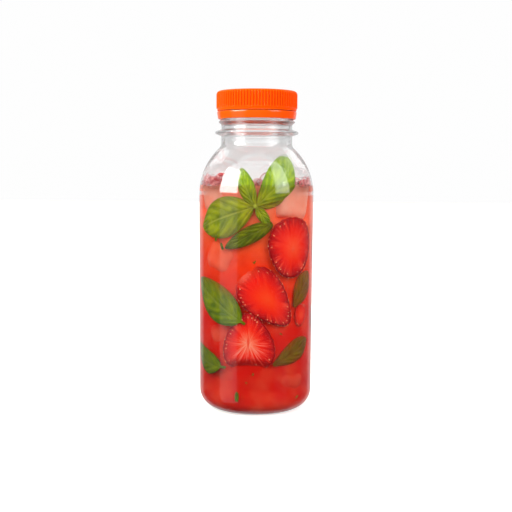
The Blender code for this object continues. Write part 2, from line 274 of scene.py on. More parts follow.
# Flecks of leaf: angle, height, depth, length, turn
FLECKS = [
    (-18.9, 8.0, 0.9, 4.9, 2.0),
    (-2.3, 77.0, 1.0, 1.6, 40.0),
    (-2.6, 21.4, 1.2, 1.3, 10.0),
    (-9.5, 17.6, 0.9, 0.9, 75.0),
    (25.1, 42.0, 1.2, 1.3, 120.0),
    (-34.5, 83.2, 1.1, 3.6, -20.0),
    (46.0, 8.4, 1.0, 1.8, 60.0),
    (-44.0, 87.2, 1.0, 3.0, 8.0),
    (160.0, 18.0, 1.0, 3.4, 30.0),
    (215.0, 98.0, 1.0, 2.0, 70.0),
    (120.0, 105.0, 1.0, 1.8, 15.0),
]

# Froth along the surface: where it gathers, how wide, how many bubbles, how high they reach
# and how far behind the wall
FROTH = [
    (-57.0, 17.0, 60, 4.6, 0.1),
    (70.0, 13.0, 46, 3.6, 0.1),
    (2.0, 14.0, 14, 2.4, 9.0),
    (150.0, 34.0, 36, 2.4, 0.1),
    (222.0, 28.0, 30, 2.4, 0.1),
]
FROTH_LOW = -0.8
RIM_TUBE = 0.13
RED_DROP = (-45.5, 119.9, 2.6)
RED_DROP_RADIUS = 1.2


def unit_box(node):
    """A CAD node's box in millimetres, as its lowest and highest corners."""
    low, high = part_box(node)
    return low / MM, high / MM


def arc(centre, radius, start, end, steps):
    """Points along an arc in an outline's plane, as (distance from the axis, height)."""
    points = []
    for step in range(steps + 1):
        angle = radians(start + (end - start) * step / steps)
        points.append((centre[0] + radius * cos(angle), centre[1] + radius * sin(angle)))
    return points


def between(start, end, steps):
    """Evenly spaced values, both ends included."""
    return [start + (end - start) * step / steps for step in range(steps + 1)]


def smooth_step(value, low, high):
    """0 below low, 1 above high and a smooth rise between."""
    share = min(1.0, max(0.0, (value - low) / (high - low)))
    return share * share * (3.0 - 2.0 * share)


class Wall:
    """The bottle's wall, worked out from the radius of the CAD body."""

    def __init__(self, body_radius):
        self.body = body_radius
        self.foot = body_radius - FOOT_TAPER
        self.middle = body_radius - SHOULDER_RADIUS
        across = NECK_RADIUS + NECK_FILLET - self.middle
        rise = sqrt((SHOULDER_RADIUS + NECK_FILLET) ** 2 - across ** 2)
        self.fillet = (NECK_RADIUS + NECK_FILLET, SHOULDER_START + rise)
        self.shoulder_end = SHOULDER_START + rise * SHOULDER_RADIUS / (SHOULDER_RADIUS + NECK_FILLET)

    def outside(self, height):
        """Radius of the outer face between the floor and the support ring."""
        if height >= self.fillet[1]:
            return NECK_RADIUS
        if height >= self.shoulder_end:
            return self.fillet[0] - sqrt(NECK_FILLET ** 2 - (self.fillet[1] - height) ** 2)
        if height >= SHOULDER_START:
            return self.middle + sqrt(SHOULDER_RADIUS ** 2 - (height - SHOULDER_START) ** 2)
        if height >= HEEL_RADIUS:
            share = (height - HEEL_RADIUS) / (SHOULDER_START - HEEL_RADIUS)
            return self.foot + (self.body - self.foot) * share
        drop = HEEL_RADIUS - max(0.0, height)
        return self.foot - HEEL_RADIUS + sqrt(HEEL_RADIUS ** 2 - drop ** 2)

    def inside(self, height):
        """Radius of the inner face."""
        share = smooth_step(height, WALL_THICKENS_FROM, NECK_START)
        return self.outside(height) - BODY_WALL - (NECK_WALL - BODY_WALL) * share

    def line(self, face, start, end, steps):
        """Points along the outer or the inner face between two heights, without the first."""
        return [(face(height), height) for height in between(start, end, steps)[1:]]

    def place(self, angle, height, depth):
        """Point behind the inner face, at an angle from the front, to the right."""
        radius = self.inside(height) - depth
        turn = radians(angle)
        return Vector((radius * sin(turn), -radius * cos(turn), height))

    def seen(self, angle, height, depth):
        """Point in the drink that shows at this angle, since wall and drink bend the view."""
        side = round(angle / 180.0) * 180.0
        radius = self.inside(height)
        across = sin(radians(angle - side))
        inner = min(0.999, abs(across) / WATER_IOR * radius / (radius - depth))
        shift = degrees(asin(inner) - asin(abs(across) / WATER_IOR))
        return self.place(angle + copysign(shift, across), height, depth)


def face_outwards(mesh):
    """Turn every face of the closed shapes in a mesh to the outside."""
    work = bmesh.new()
    work.from_mesh(mesh)
    bmesh.ops.recalc_face_normals(work, faces=work.faces)
    work.to_mesh(mesh)
    work.free()


def put_in_scene(name, data):
    """A new object in the scene."""
    piece = bpy.data.objects.new(name, data)
    bpy.context.scene.collection.objects.link(piece)
    return piece


class Batch:
    """Gathers many small shapes into one mesh, with their own coordinates for the materials."""

    def __init__(self):
        self.points = []
        self.faces = []
        self.maps = {}

    def add(self, points, faces, **maps):
        start = len(self.points)
        self.points += points
        self.faces += [tuple(start + corner for corner in face) for face in faces]
        for name, values in maps.items():
            self.maps.setdefault(name, []).extend(values)

    def piece(self, name, material, slot, replaces=None):
        """Make the mesh object, in metres, on the object's one body."""
        mesh = bpy.data.meshes.new(name)
        mesh.from_pydata([Vector(point) * MM for point in self.points], [], self.faces)
        mesh.update()
        face_outwards(mesh)
        for map_name, values in self.maps.items():
            layer = mesh.uv_layers.new(name=map_name)
            for loop in mesh.loops:
                layer.data[loop.index].uv = values[loop.vertex_index]
        mesh.materials.append(material)
        mesh.shade_smooth()
        mesh.set_sharp_from_angle(angle=radians(SHARP_ANGLE))
        piece = put_in_scene(name, mesh)
        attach(piece, "root")
        if replaces:
            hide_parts(replaces)
        return piece


def one_piece(name, shape, material, slot, replaces=None, **maps):
    """A piece of one shape, which is given as points and faces."""
    batch = Batch()
    batch.add(*shape, **maps)
    return batch.piece(name, material, slot, replaces)


def soften(outline, reach, steps):
    """Round the corners of an outline, each over at most this reach."""
    rounded = [outline[0]]
    for before, corner, after in zip(outline, outline[1:], outline[2:]):
        before, corner, after = Vector(before), Vector(corner), Vector(after)
        start = corner + (before - corner) * min(0.4, reach / max(TINY, (before - corner).length))
        end = corner + (after - corner) * min(0.4, reach / max(TINY, (after - corner).length))
        for share in between(0.0, 1.0, steps):
            point = start.lerp(corner, share).lerp(corner.lerp(end, share), share)
            rounded.append(tuple(point))
    rounded.append(outline[-1])
    return rounded


def stitch(rows, closed=False):
    """Faces between rows of points that run round, where a row may be a single point."""
    faces = []
    pairs = list(zip(rows, rows[1:]))
    if closed:
        pairs.append((rows[-1], rows[0]))
    for low, high in pairs:
        for side in range(max(len(low), len(high))):
            after = side + 1
            corners = ((low, side), (low, after), (high, after), (high, side))
            faces.append(tuple(dict.fromkeys(row[spot % len(row)] for row, spot in corners)))
    return faces


def turned(outline, sides, closed=False, shape=None):
    """Spin an outline round the axis. shape(radius, height, turn) may move a point in or out."""
    points, rows = [], []
    for radius, height in outline:
        if radius < TINY:
            rows.append([len(points)])
            points.append((0.0, 0.0, height))
            continue
        rows.append(list(range(len(points), len(points) + sides)))
        for side in range(sides):
            turn = tau * side / sides
            far, up = shape(radius, height, turn) if shape else (radius, height)
            points.append((far * cos(turn), far * sin(turn), up))
    return points, stitch(rows, closed)


class Value:
    """A number that a material works out at each point, with the usual signs for sums."""

    def __init__(self, tree, socket):
        self.tree = tree
        self.socket = socket

    def __add__(self, other):
        return self.tree.math("ADD", self, other)

    def __sub__(self, other):
        return self.tree.math("SUBTRACT", self, other)

    def __rsub__(self, other):
        return self.tree.math("SUBTRACT", other, self)

    def __mul__(self, other):
        return self.tree.math("MULTIPLY", self, other)

    def __truediv__(self, other):
        return self.tree.math("DIVIDE", self, other)

    def __abs__(self):
        return self.tree.math("ABSOLUTE", self)

    def at_least(self, other):
        return self.tree.math("MAXIMUM", self, other)


class Tree:
    """Short names for the shader nodes of a material, or of the world if one is given."""

    def __init__(self, name, world=None):
        self.owner = world or bpy.data.materials.new(name)
        self.owner.use_nodes = True
        self.nodes = self.owner.node_tree.nodes
        self.links = self.owner.node_tree.links
        self.nodes.clear()
        self.output = self.nodes.new("ShaderNodeOutputWorld" if world else "ShaderNodeOutputMaterial")

    def put(self, socket, value):
        """Set a socket to a plain value, or link it to another socket."""
        if isinstance(value, Value):
            value = value.socket
        if isinstance(value, bpy.types.NodeSocket):
            self.links.new(value, socket)
        elif hasattr(socket.default_value, "__len__") and len(socket.default_value) == 4:
            socket.default_value = tuple(value)[:3] + (1.0,)
        else:
            socket.default_value = value

    def make(self, kind, inputs, output=0, **settings):
        """A new node with its settings and inputs, which gives one of its outputs."""
        node = self.nodes.new("ShaderNode" + kind)
        for name, value in settings.items():
            setattr(node, name, value)
        for name, value in inputs.items():
            self.put(node.inputs[name], value)
        return node.outputs[output]

    def math(self, operation, first, second=0.0):
        return Value(self, self.make("Math", {0: first, 1: second}, operation=operation))

    def step(self, value, low, high, start=0.0, end=1.0):
        """Smooth change from start to end as value goes from low to high."""
        inputs = {"Value": value, "From Min": low, "From Max": high, "To Min": start, "To Max": end}
        return Value(self, self.make("MapRange", inputs, "Result", interpolation_type="SMOOTHSTEP"))

    def mix(self, share, first, second, blend="MIX"):
        """Blend of two colours."""
        return self.make("Mix", {0: share, 6: first, 7: second}, 2, data_type="RGBA", blend_type=blend)

    def ramp(self, value, stops):
        """Colour ramp through (place, colour) stops."""
        node = self.nodes.new("ShaderNodeValToRGB")
        while len(node.color_ramp.elements) < len(stops):
            node.color_ramp.elements.new(0.5)
        for element, (place, colour) in zip(node.color_ramp.elements, stops):
            element.position = place
            element.color = tuple(colour) + (1.0,)
        self.put(node.inputs["Fac"], value)
        return node.outputs["Color"]

    def place(self):
        """The point on the piece, in metres, in the part's frame."""
        return self.make("TexCoord", {}, "Object")

    def split(self, vector):
        node = self.nodes.new("ShaderNodeSeparateXYZ")
        self.put(node.inputs[0], vector)
        return [Value(self, output) for output in node.outputs]

    def join(self, x, y, z):
        return self.make("CombineXYZ", {0: x, 1: y, 2: z})

    def height(self):
        return self.split(self.place())[2]

    def uv(self, name):
        return self.split(self.make("UVMap", {}, uv_map=name))[:2]

    def ray(self, kind):
        return self.make("LightPath", {}, f"Is {kind} Ray")

    def noise(self, vector, scale, detail=2.0, rough=0.5):
        inputs = {"Vector": vector, "Scale": scale, "Detail": detail, "Roughness": rough}
        return Value(self, self.make("TexNoise", inputs, "Fac"))

    def bump(self, height, strength, distance):
        return self.make("Bump", {"Height": height, "Strength": strength, "Distance": distance})

    def clear(self, colour=(1.0, 1.0, 1.0)):
        return self.make("BsdfTransparent", {"Color": colour})

    def principled(self, **inputs):
        return self.make("BsdfPrincipled", {name.replace("_", " "): inputs[name] for name in inputs})

    def surface(self, **inputs):
        return self.finish(self.principled(**inputs))

    def mix_shaders(self, share, first, second):
        return self.make("MixShader", {0: share, 1: first, 2: second})

    def finish(self, shader, lamps_pass=None, volume=None):
        """Set the surface. lamps_pass is the share of light that crosses it, for clear pieces."""
        if lamps_pass:
            shader = self.mix_shaders(self.ray("Shadow"), shader, self.clear(lamps_pass))
        self.links.new(shader, self.output.inputs["Surface"])
        if volume:
            self.links.new(volume, self.output.inputs["Volume"])
        return self.owner


# Colours of the cloudy drink from the bottom up to its level: deep red at the bottom, and paler towards the
# top as painted light, for light that shines through the upper drink from behind
CLOUD_COLOURS_AND_BACKLIGHT = [
    (0.00, (0.46, 0.005, 0.002)),
    (0.16, (0.64, 0.007, 0.002)),
    (0.42, (0.76, 0.010, 0.002)),
    (0.66, (0.92, 0.055, 0.007)),
    (0.80, (0.95, 0.160, 0.045)),
    (0.92, (0.94, 0.300, 0.170)),
    (1.00, (0.94, 0.380, 0.250)),
]
# How far behind the wall, in metres, a sunk piece starts to fade and has faded
FOG_FROM = 0.0013
FOG_TO = 0.0062


def cloud_colour(tree):
    """Colour of the cloudy drink at each height, paler towards the top as painted light, with soft drifts
    of pulp.
    """
    place = tree.place()
    x, y, height = tree.split(place)
    share = height / (LEVEL * MM) + tree.noise(place, 60.0) * 0.10 - 0.05
    light = tree.step(tree.noise(place, 95.0, 3.0, 0.6), 0.40, 0.68, 0.0, LIGHT_PULP)
    colour = tree.mix(light, tree.ramp(share, CLOUD_COLOURS_AND_BACKLIGHT), (0.93, 0.18, 0.075))
    swapped = tree.join(height, y, x)
    dark = tree.step(tree.noise(swapped, 120.0, 4.0, 0.65), 0.46, 0.70, 0.0, DARK_PULP)
    return tree.mix(dark, colour, (0.62, 0.016, 0.005))


def depth_behind_wall(tree, wall):
    """How far each point lies behind the bottle's inner face, in metres."""
    x, y, height = tree.split(tree.place())
    radius = tree.math("SQRT", x * x + y * y)
    rise = (height - SHOULDER_START * MM).at_least(0.0)
    lean = rise * rise * (0.5 / (SHOULDER_RADIUS * MM))
    taper = tree.step(height, 0.0, SHOULDER_START * MM, FOOT_TAPER * MM, 0.0)
    return (wall.body - BODY_WALL) * MM - lean - taper - radius


def sunk_surface(tree, wall, colour, rough, most=0.92, gloss=WETTED_GLOSS, **inputs):
    """The look of a sunk piece, which fades into the cloudy drink with depth."""
    fog = tree.step(depth_behind_wall(tree, wall), FOG_FROM, FOG_TO, 0.0, most)
    sunk = tree.step(tree.height(), (LEVEL - 1.5) * MM, (LEVEL + 0.5) * MM, 1.0, 0.0)
    colour = tree.mix(fog * sunk, colour, cloud_colour(tree))
    return tree.surface(Base_Color=colour, Roughness=rough, Specular_IOR_Level=gloss, **inputs)


def clear_plastic_material(name, mirror):
    """Blown clear plastic: very smooth, uneven as a blown wall is, and thinner to see at the neck."""
    tree = Tree(name)
    uneven = tree.noise(tree.place(), 45.0, 1.0)
    plastic = tree.principled(
        Base_Color=(0.945, 0.95, 0.95), Roughness=0.012, IOR=PLASTIC_IOR, Transmission_Weight=1.0,
        Specular_Tint=(mirror, mirror, mirror), Normal=tree.bump(uneven, 0.06, 0.0006))
    share = tree.step(tree.height(), (LEVEL + 1.0) * MM, NECK_START * MM, 0.0, STRAIGHT_THROUGH)
    shader = tree.mix_shaders(share, plastic, tree.clear((0.97, 0.97, 0.97)))
    return tree.finish(shader, lamps_pass=(0.93, 0.93, 0.93))


def orange_plastic_material(name, rough, gloss):
    """Moulded orange plastic with a satin gloss and a fine grain, and painted shade that darkens its
    grooves.
    """
    tree = Tree(name)
    groove, _ = tree.uv("Groove")
    patch = tree.noise(tree.place(), 35.0)
    grain = tree.noise(tree.place(), 2600.0)
    colour = tree.mix(patch, (0.95, 0.104, 0.0006), (0.99, 0.126, 0.0012))
    # The colour darkens in the grooves as painted shade, as if the ribs shaded them.
    return tree.surface(
        Base_Color=tree.mix(groove, colour, (0.70, 0.036, 0.0004)), Specular_IOR_Level=gloss,
        Roughness=tree.step(grain, 0.3, 0.7, rough, rough + 0.06), Normal=tree.bump(grain, 0.12, 0.00004))


def drink_material():
    """The clear share of the drink, between the wall and the cloudy middle."""
    tree = Tree("drink_clear")
    ripple = tree.noise(tree.place(), 160.0)
    shader = tree.principled(
        Base_Color=(1.0, 0.99, 0.985), Roughness=0.0, IOR=WATER_IOR, Transmission_Weight=1.0,
        Specular_Tint=(WETTED_MIRROR, WETTED_MIRROR, WETTED_MIRROR), Normal=tree.bump(ripple, 0.10, 0.0003))
    absorb = tree.make("VolumeAbsorption", {"Color": (0.97, 0.55, 0.42), "Density": 70.0})
    return tree.finish(shader, lamps_pass=(1.0, 0.95, 0.93), volume=absorb)


def cloud_material():
    """The cloudy middle of the drink."""
    tree = Tree("drink_cloudy")
    return tree.surface(Base_Color=cloud_colour(tree), Roughness=0.7, Specular_IOR_Level=0.0)


def basil_material(name, wall, painted_lightness, fog, gloss):
    """Glossy basil leaf: it puckers up between its pale veins, with painted shade in its folds and painted
    light on its puckers.
    """
    tree = Tree(name)
    across, along = tree.uv("Leaf")
    shade, _ = tree.uv("Tone")
    patch = tree.noise(tree.place(), 220.0, 3.0)
    off = abs(across * 2.0 - 1.0)
    rise = along - tree.math("POWER", off, VEIN_BOW) * VEIN_SLANT + (patch - 0.5) * 0.14
    beat = tree.math("PINGPONG", rise * (VEINS * 2.0), 1.0)
    side_vein = tree.step(beat, 0.0, 0.16, 0.5, 0.0)
    vein = side_vein.at_least(tree.step(off, 0.02, 0.08, 1.0, 0.0))
    swell = tree.step(beat, 0.1, 0.9) * tree.step(off, 0.05, 0.30)
    # Painted light and shade: the puckers are painted lighter and the folds between them darker, mixed with
    # random patches of tone.
    tone = tree.step(swell * 0.14 + patch * 0.60, 0.14, 0.58)
    green = tree.mix(tone, (0.06, 0.125, 0.002), (0.22, 0.30, 0.004))
    green = tree.mix(tree.step(off, 0.5, 1.0, 0.0, 0.55), green, (0.045, 0.095, 0.002))
    green = tree.mix(vein * 0.4, green, (0.30, 0.38, 0.05))
    # The whole set of leaves is made lighter by this factor; the sprig's 1.7 against the sunk leaves' 1.0
    # is painted light.
    green = tree.mix(1.0, green, shade * painted_lightness, "MULTIPLY")
    relief = tree.bump(swell * 1.2 + patch * 0.4, 0.45, 0.0004)
    return sunk_surface(tree, wall, green, 0.36, fog, gloss, Normal=relief)


def berry_material(name, wall, berry):
    """Cut strawberry: dark skin, red flesh with streaks that run to the rim, and a pale heart."""
    tree = Tree(name)
    turn, ring = tree.uv("Rim")
    x, y = tree.uv("Plane")
    inward = abs(ring - 0.5) * 2.0
    angle = turn * tau
    spokes = tree.join(tree.math("COSINE", angle), tree.math("SINE", angle), inward * 0.12)
    streak = tree.noise(spokes, STREAKS, 2.0, 0.6)
    flesh = tree.ramp(inward + (streak - 0.5) * 0.55, [
        (0.14, (0.36, 0.003, 0.006)),
        (0.26, (0.56, 0.004, 0.006)),
        (0.42, (0.80, 0.008, 0.003)),
        (0.60, (0.92, 0.020, 0.002)),
        (0.80, (0.96, 0.040 + 0.10 * berry.pale, 0.003 + 0.06 * berry.pale)),
        (1.00, (0.98, 0.055 + 0.30 * berry.pale, 0.004 + 0.20 * berry.pale)),
    ])
    rays = tree.step(streak, 0.52, 0.62) * tree.step(inward, 0.16, 0.22)
    flesh = tree.mix(rays * tree.step(inward, 0.34, 0.56, 0.32, 0.0), flesh, (0.98, 0.16, 0.08))
    hull = tree.step(y, 0.87, 1.0) * tree.step(abs(x - 0.45), 0.04, 0.26, 0.7 * berry.hull, 0.0)
    flesh = tree.mix(hull, flesh, (0.98, 0.50, 0.38))
    fibre = tree.step(streak, 0.42, 0.68) * tree.step(inward, 0.30, 0.70)
    fibre = fibre * tree.step(y, 0.30, 0.75, 0.10, 1.0) * (0.70 * berry.pale)
    flesh = tree.mix(fibre, flesh, (0.98, 0.55, 0.42))
    # The slot is the hollow down the heart, painted as a darker red slit: painted shade in place of the
    # hollow.
    if berry.slot[0] > 0.0:
        reach = abs(x - 0.5) / berry.slot[0] + abs(y - 0.47) / berry.slot[1]
        flesh = tree.mix(tree.step(reach, 0.45, 0.8, 1.0, 0.0), flesh, (0.88, 0.085, 0.04))
    cells = tree.noise(tree.place(), 1500.0)
    return sunk_surface(tree, wall, flesh, 0.35, Normal=tree.bump(streak + cells * 0.4, 0.3, 0.0003))


def seed_material(wall):
    """Strawberry seeds, straw yellow to brown."""
    tree = Tree("berry_seeds")
    tone = tree.step(tree.noise(tree.place(), 900.0), 0.3, 0.7)
    colour = tree.mix(tone, (0.86, 0.26, 0.10), (0.98, 0.52, 0.28))
    return sunk_surface(tree, wall, colour, 0.4, 0.7)


def sunk_ice_material(name, wall, tint, least, most, fog):
    """Melting ice under the surface: a pale, softly streaked light patch in the drink."""
    tree = Tree(name)
    streak = tree.noise(tree.place(), 130.0, 3.0, 0.55)
    light = tree.step(streak, 0.25, 0.8, least, most) * tree.step(tree.height(), 0.0, 0.08, 0.2, 1.0)
    pale = tree.mix(light, cloud_colour(tree), tint)
    return sunk_surface(tree, wall, pale, 0.5, fog, Normal=tree.bump(streak, 0.2, 0.0006))


def film(tree, colour, least, inner):
    """A clear film, faint where it is seen face on and full where it is seen edge on."""
    facing = tree.make("LayerWeight", {"Blend": 0.5}, "Facing")
    skin = tree.principled(Base_Color=colour, Roughness=0.08, IOR=1.33)
    return tree.mix_shaders(tree.step(facing, inner, 0.92, least, 1.0), tree.clear(), skin)


def wet_ice_material():
    """Ice above the surface: clear, wet, with pink running down its edges."""
    tree = Tree("wet_ice")
    flaw = tree.step(tree.noise(tree.place(), 220.0, 3.0), 0.35, 0.7)
    return tree.finish(film(tree, tree.mix(flaw, (0.46, 0.04, 0.04), (0.80, 0.34, 0.30)), 0.10, 0.38))


def bubble_material():
    """Froth bubbles: clear in the middle, red where the film is seen edge on."""
    tree = Tree("froth")
    tint = tree.step(tree.noise(tree.place(), 300.0, 1.0), 0.35, 0.65)
    colour = tree.mix(tint, (0.44, 0.02, 0.03), (0.72, 0.18, 0.17))
    sunk = tree.step(tree.height(), (LEVEL - 0.6) * MM, (LEVEL + 0.2) * MM, 1.0, 0.0)
    return tree.finish(film(tree, tree.mix(sunk, colour, (0.95, 0.50, 0.38)), 0.03, 0.46))


def froth_rim_material():
    """The dark pink edges of the bubbles that lie against the wall."""
    tree = Tree("froth_rim")
    tint = tree.step(tree.noise(tree.place(), 420.0, 1.0), 0.35, 0.65)
    colour = tree.mix(tint, (0.52, 0.05, 0.06), (0.82, 0.30, 0.28))
    return tree.surface(Base_Color=colour, Roughness=0.25, Specular_IOR_Level=WETTED_GLOSS)


def drop_material():
    """A drop of deep red syrup on the ice."""
    tree = Tree("red_drop")
    colour = tree.mix(tree.noise(tree.place(), 700.0, 1.0), (0.45, 0.010, 0.012), (0.62, 0.030, 0.030))
    return tree.surface(Base_Color=colour, Roughness=0.12, IOR=WATER_IOR)


def push_up_outline(rim, lift, steps):
    """Half of the raised middle of the base, from the axis out to its rim."""
    points = []
    for share in between(1.0, 0.0, steps):
        angle = radians(90.0 * share)
        points.append((rim * cos(angle), lift + PUSH_UP * sin(angle)))
    return points


def inside_base_outline(wall, inset, steps):
    """The inner face from the body down round the heel to the axis, set in by an amount."""
    heel = (wall.foot - HEEL_RADIUS, HEEL_RADIUS)
    outline = arc(heel, HEEL_RADIUS - BODY_WALL - inset, 0.0, -90.0, steps)
    dome = push_up_outline(FOOT_RING_INSIDE + BASE_WALL, BASE_WALL + inset, steps)
    return outline + dome[::-1]


def make_bottle(wall):
    """The clear bottle: outside, lip, inside, with its rings finely rounded."""
    _, high = unit_box("bottle")
    ring, bead, mouth = SUPPORT_RING_HEIGHT, BEAD_HEIGHT, high.z
    neck = [
        (NECK_RADIUS, NECK_START),
        (NECK_RADIUS, ring - SUPPORT_RING_ROOT),
        (SUPPORT_RING_RADIUS - RING_EDGE, ring - SUPPORT_RING_HALF),
        (SUPPORT_RING_RADIUS, ring - SUPPORT_RING_HALF + RING_EDGE),
        (SUPPORT_RING_RADIUS, ring + SUPPORT_RING_HALF - RING_EDGE),
        (SUPPORT_RING_RADIUS - RING_EDGE, ring + SUPPORT_RING_HALF),
        (NECK_RADIUS, ring + SUPPORT_RING_ROOT),
        (NECK_RADIUS, bead - BEAD_SLOPE_BELOW),
        (BEAD_RADIUS, bead - BEAD_HALF),
        (BEAD_RADIUS, bead + BEAD_HALF),
        (FINISH_RADIUS, bead + BEAD_SLOPE_ABOVE),
        (FINISH_RADIUS, mouth - LIP_EDGE),
        (FINISH_RADIUS - LIP_EDGE, mouth),
        (MOUTH_BORE + LIP_EDGE, mouth),
        (MOUTH_BORE, mouth - LIP_EDGE),
        (MOUTH_BORE, NECK_START),
    ]
    outline = push_up_outline(FOOT_RING_INSIDE, 0.0, 14)
    outline += arc((wall.foot - HEEL_RADIUS, HEEL_RADIUS), HEEL_RADIUS, -90.0, 0.0, 16)
    outline += wall.line(wall.outside, HEEL_RADIUS, SHOULDER_START, 6)
    outline += wall.line(wall.outside, SHOULDER_START, wall.shoulder_end, 24)
    outline += wall.line(wall.outside, wall.shoulder_end, wall.fillet[1], 6)
    outline += soften(neck, 0.45, 4)
    outline += wall.line(wall.inside, NECK_START, SHOULDER_START, 30)
    outline += wall.line(wall.inside, SHOULDER_START, HEEL_RADIUS, 6)
    outline += inside_base_outline(wall, 0.0, 16)[1:]
    looks = [
        clear_plastic_material("clear_plastic", 1.0),
        clear_plastic_material("clear_plastic_wetted", WETTED_MIRROR),
        clear_plastic_material("clear_plastic_inside", INSIDE_MIRROR),
    ]
    shape = turned(outline[::-1], BOTTLE_SIDES)
    bottle = one_piece("pet_bottle", shape, looks[0], "clear_plastic", "bottle")
    for look in looks[1:]:
        bottle.data.materials.append(look)
    for face in bottle.data.polygons:
        centre = face.center / MM
        far = hypot(centre.x, centre.y)
        inner = far <= wall.outside(centre.z) - 0.5 * BODY_WALL
        if inner and BASE_WALL <= centre.z <= NECK_START:
            face.material_index = 1 if centre.z < LEVEL else 2


def make_cap():
    """The ribbed cap: rounded ribs that run out before the rounded top edge."""
    low, high = unit_box("cap")
    radius, top, bottom = high.x, high.z, low.z
    foot = bottom + CAP_FOOT_HEIGHT
    skirt = [
        (radius - 0.05, foot),
        (radius - RIB_DEPTH, foot - 0.3),
        (radius - RIB_DEPTH, bottom),
        (CAP_BORE, bottom),
        (CAP_BORE, top - CAP_TOP_THICKNESS),
        (0.0, top - CAP_TOP_THICKNESS),
    ]
    outline = [(radius * share, top - CAP_TOP_SINK) for share in (0.0, 0.4, 0.8)]
    outline += arc((radius - CAP_EDGE_RADIUS, top - CAP_EDGE_RADIUS), CAP_EDGE_RADIUS, 90.0, 0.0, 12)
    outline += [(radius, height) for height in between(top - CAP_EDGE_RADIUS, foot, 10)[1:-1]]
    outline += soften(skirt, 0.2, 3)

    def groove(far, up, turn):
        """1 in the middle of a groove between two ribs and 0 on a rib."""
        if far < CAP_BORE + 0.3:
            return 0.0
        beat = 0.5 - 0.5 * cos(RIBS * turn)
        reach = smooth_step(top - up, 0.15, 1.6) * smooth_step(up - foot, -0.05, 0.3)
        return reach * (1.0 - beat ** 0.6)

    def rib(far, up, turn):
        """Sink the grooves, less towards the top edge."""
        return far - RIB_DEPTH * groove(far, up, turn), up

    points, faces = turned(outline[::-1], RIBS * 10, shape=rib)
    # Map for the cap's colour: 1 in each groove, where the colour is darkened as painted shade.
    shade = [(groove(hypot(x, y), z, atan2(y, x)), 0.0) for x, y, z in points]
    look = orange_plastic_material("cap_plastic", 0.24, 0.05)
    one_piece("screw_cap", (points, faces), look, "orange_plastic", "cap", Groove=shade)


def make_band():
    """The tear-off band, with rounded edges."""
    low, high = unit_box("seal_band")
    radius = high.x
    outline = [
        (BAND_BORE, high.z - 0.05),
        (BAND_BORE, high.z),
        (radius, high.z),
        (radius, high.z - 0.9),
        (radius - BAND_TAPER, low.z + 0.3),
        (radius - BAND_TAPER - 0.3, low.z),
        (BAND_BORE, low.z),
        (BAND_BORE, low.z + 0.05),
    ]
    shape = turned(soften(outline, 0.25, 4)[::-1], BOTTLE_SIDES, closed=True)
    look = orange_plastic_material("band_plastic", 0.13, 0.45)
    smooth = [(0.0, 0.0)] * len(shape[0])
    one_piece("tear_band", shape, look, "orange_plastic", "seal_band", Groove=smooth)


def ripple_height(x, y):
    """Small unevenness of the drink's surface, as in the part's source."""
    return RIPPLE * (sin(0.21 * x + 0.7) * cos(0.17 * y - 0.4) + 0.4 * sin(0.33 * (x - y)))


def make_drink(wall):
    """The drink's clear outer share reaches into the wall, and its cloudy middle lies within."""
    edge = wall.inside(LEVEL) + INTO_WALL

    def surface(far, up, turn):
        """Ripples, and the rise of the surface against the wall."""
        if up < LEVEL - 0.5:
            return far, up
        climb = MENISCUS * exp(-(edge - far) / 1.2)
        up += ripple_height(far * cos(turn), far * sin(turn)) + climb
        return min(far, wall.inside(up) + INTO_WALL), up

    outline = inside_base_outline(wall, -INTO_WALL, 14)[::-1]
    sides = wall.line(wall.inside, HEEL_RADIUS, LEVEL - 1.0, 12)
    outline += [(radius + INTO_WALL, height) for radius, height in sides]
    outline += [(edge * share, LEVEL) for share in (1.0, 0.985, 0.97, 0.95, 0.92, 0.88)]
    outline += [(edge * share, LEVEL) for share in between(0.8, 0.0, 10)]
    shape = turned(outline, DRINK_SIDES, shape=surface)
    one_piece("drink_clear", shape, drink_material(), "drink", "drink")

    def drift(far, up, turn):
        """Let the cloudy middle swell and sink a little, and keep it off the ice at the surface."""
        spot = Vector((far * cos(turn), far * sin(turn), up))
        for block in ICE_BLOCKS.values():
            facing = radians(block.facing)
            ahead = spot.x * sin(facing) - spot.y * cos(facing)
            beside = abs(spot.x * cos(facing) + spot.y * sin(facing))
            beside = smooth_step(beside, 0.45 * block.size[0], 0.45 * block.size[0] + 5.0)
            under = smooth_step(block.height - 0.45 * block.size[2] - up, -0.5, 3.0)
            if ahead > 0.0:
                far -= ICE_CLEARING * (1.0 - beside) * (1.0 - under) * smooth_step(far, 14.0, 24.0)
        return far + 0.9 * noise.noise(spot * 0.07) * smooth_step(far, 4.0, 18.0), up

    bottom, top = 1.35, LEVEL - 0.5
    foot = wall.inside(HEEL_RADIUS) - HEEL_RADIUS
    cloud = [(0.0, bottom + PUSH_UP), (foot * 0.6, bottom + PUSH_UP - 1.4), (foot, bottom)]
    for height in between(bottom + 0.4, top - 0.2, 70):
        depth = 0.5 + (CLOUD_DEPTH - 0.5) * smooth_step(height, 2.0, 14.0)
        cloud.append((wall.inside(height) - depth, height))
    cloud += [(wall.inside(top) - CLOUD_DEPTH - 0.3, top), (wall.inside(top) - 12.0, top), (0.0, top)]
    one_piece("drink_cloudy", turned(cloud, CLOUD_SIDES, shape=drift), cloud_material(), "drink")


def leaf_half_width(share, width, fullest):
    """Half of a basil leaf's width at a share of its length, as in the part's source."""
    shift = log(0.5) / log(fullest)
    swell = max(0.0, sin(pi * share ** shift)) ** 0.7
    ends = LEAF_ROOT_WIDTH * (1.0 - share) + LEAF_TIP_WIDTH * share
    return 0.5 * (ends + (width - ends) * swell)


def leaf_relief(share, offset):
    """Basil puckers up between its side veins and dips at its midrib."""
    rise = share - abs(offset) ** VEIN_BOW * VEIN_SLANT
    pucker = abs(sin(pi * VEINS * rise)) * sqrt(abs(offset) * (1.0 - abs(offset)) * 4.0)
    return PUCKER * (pucker - 1.2 * exp(-(offset / 0.07) ** 2))


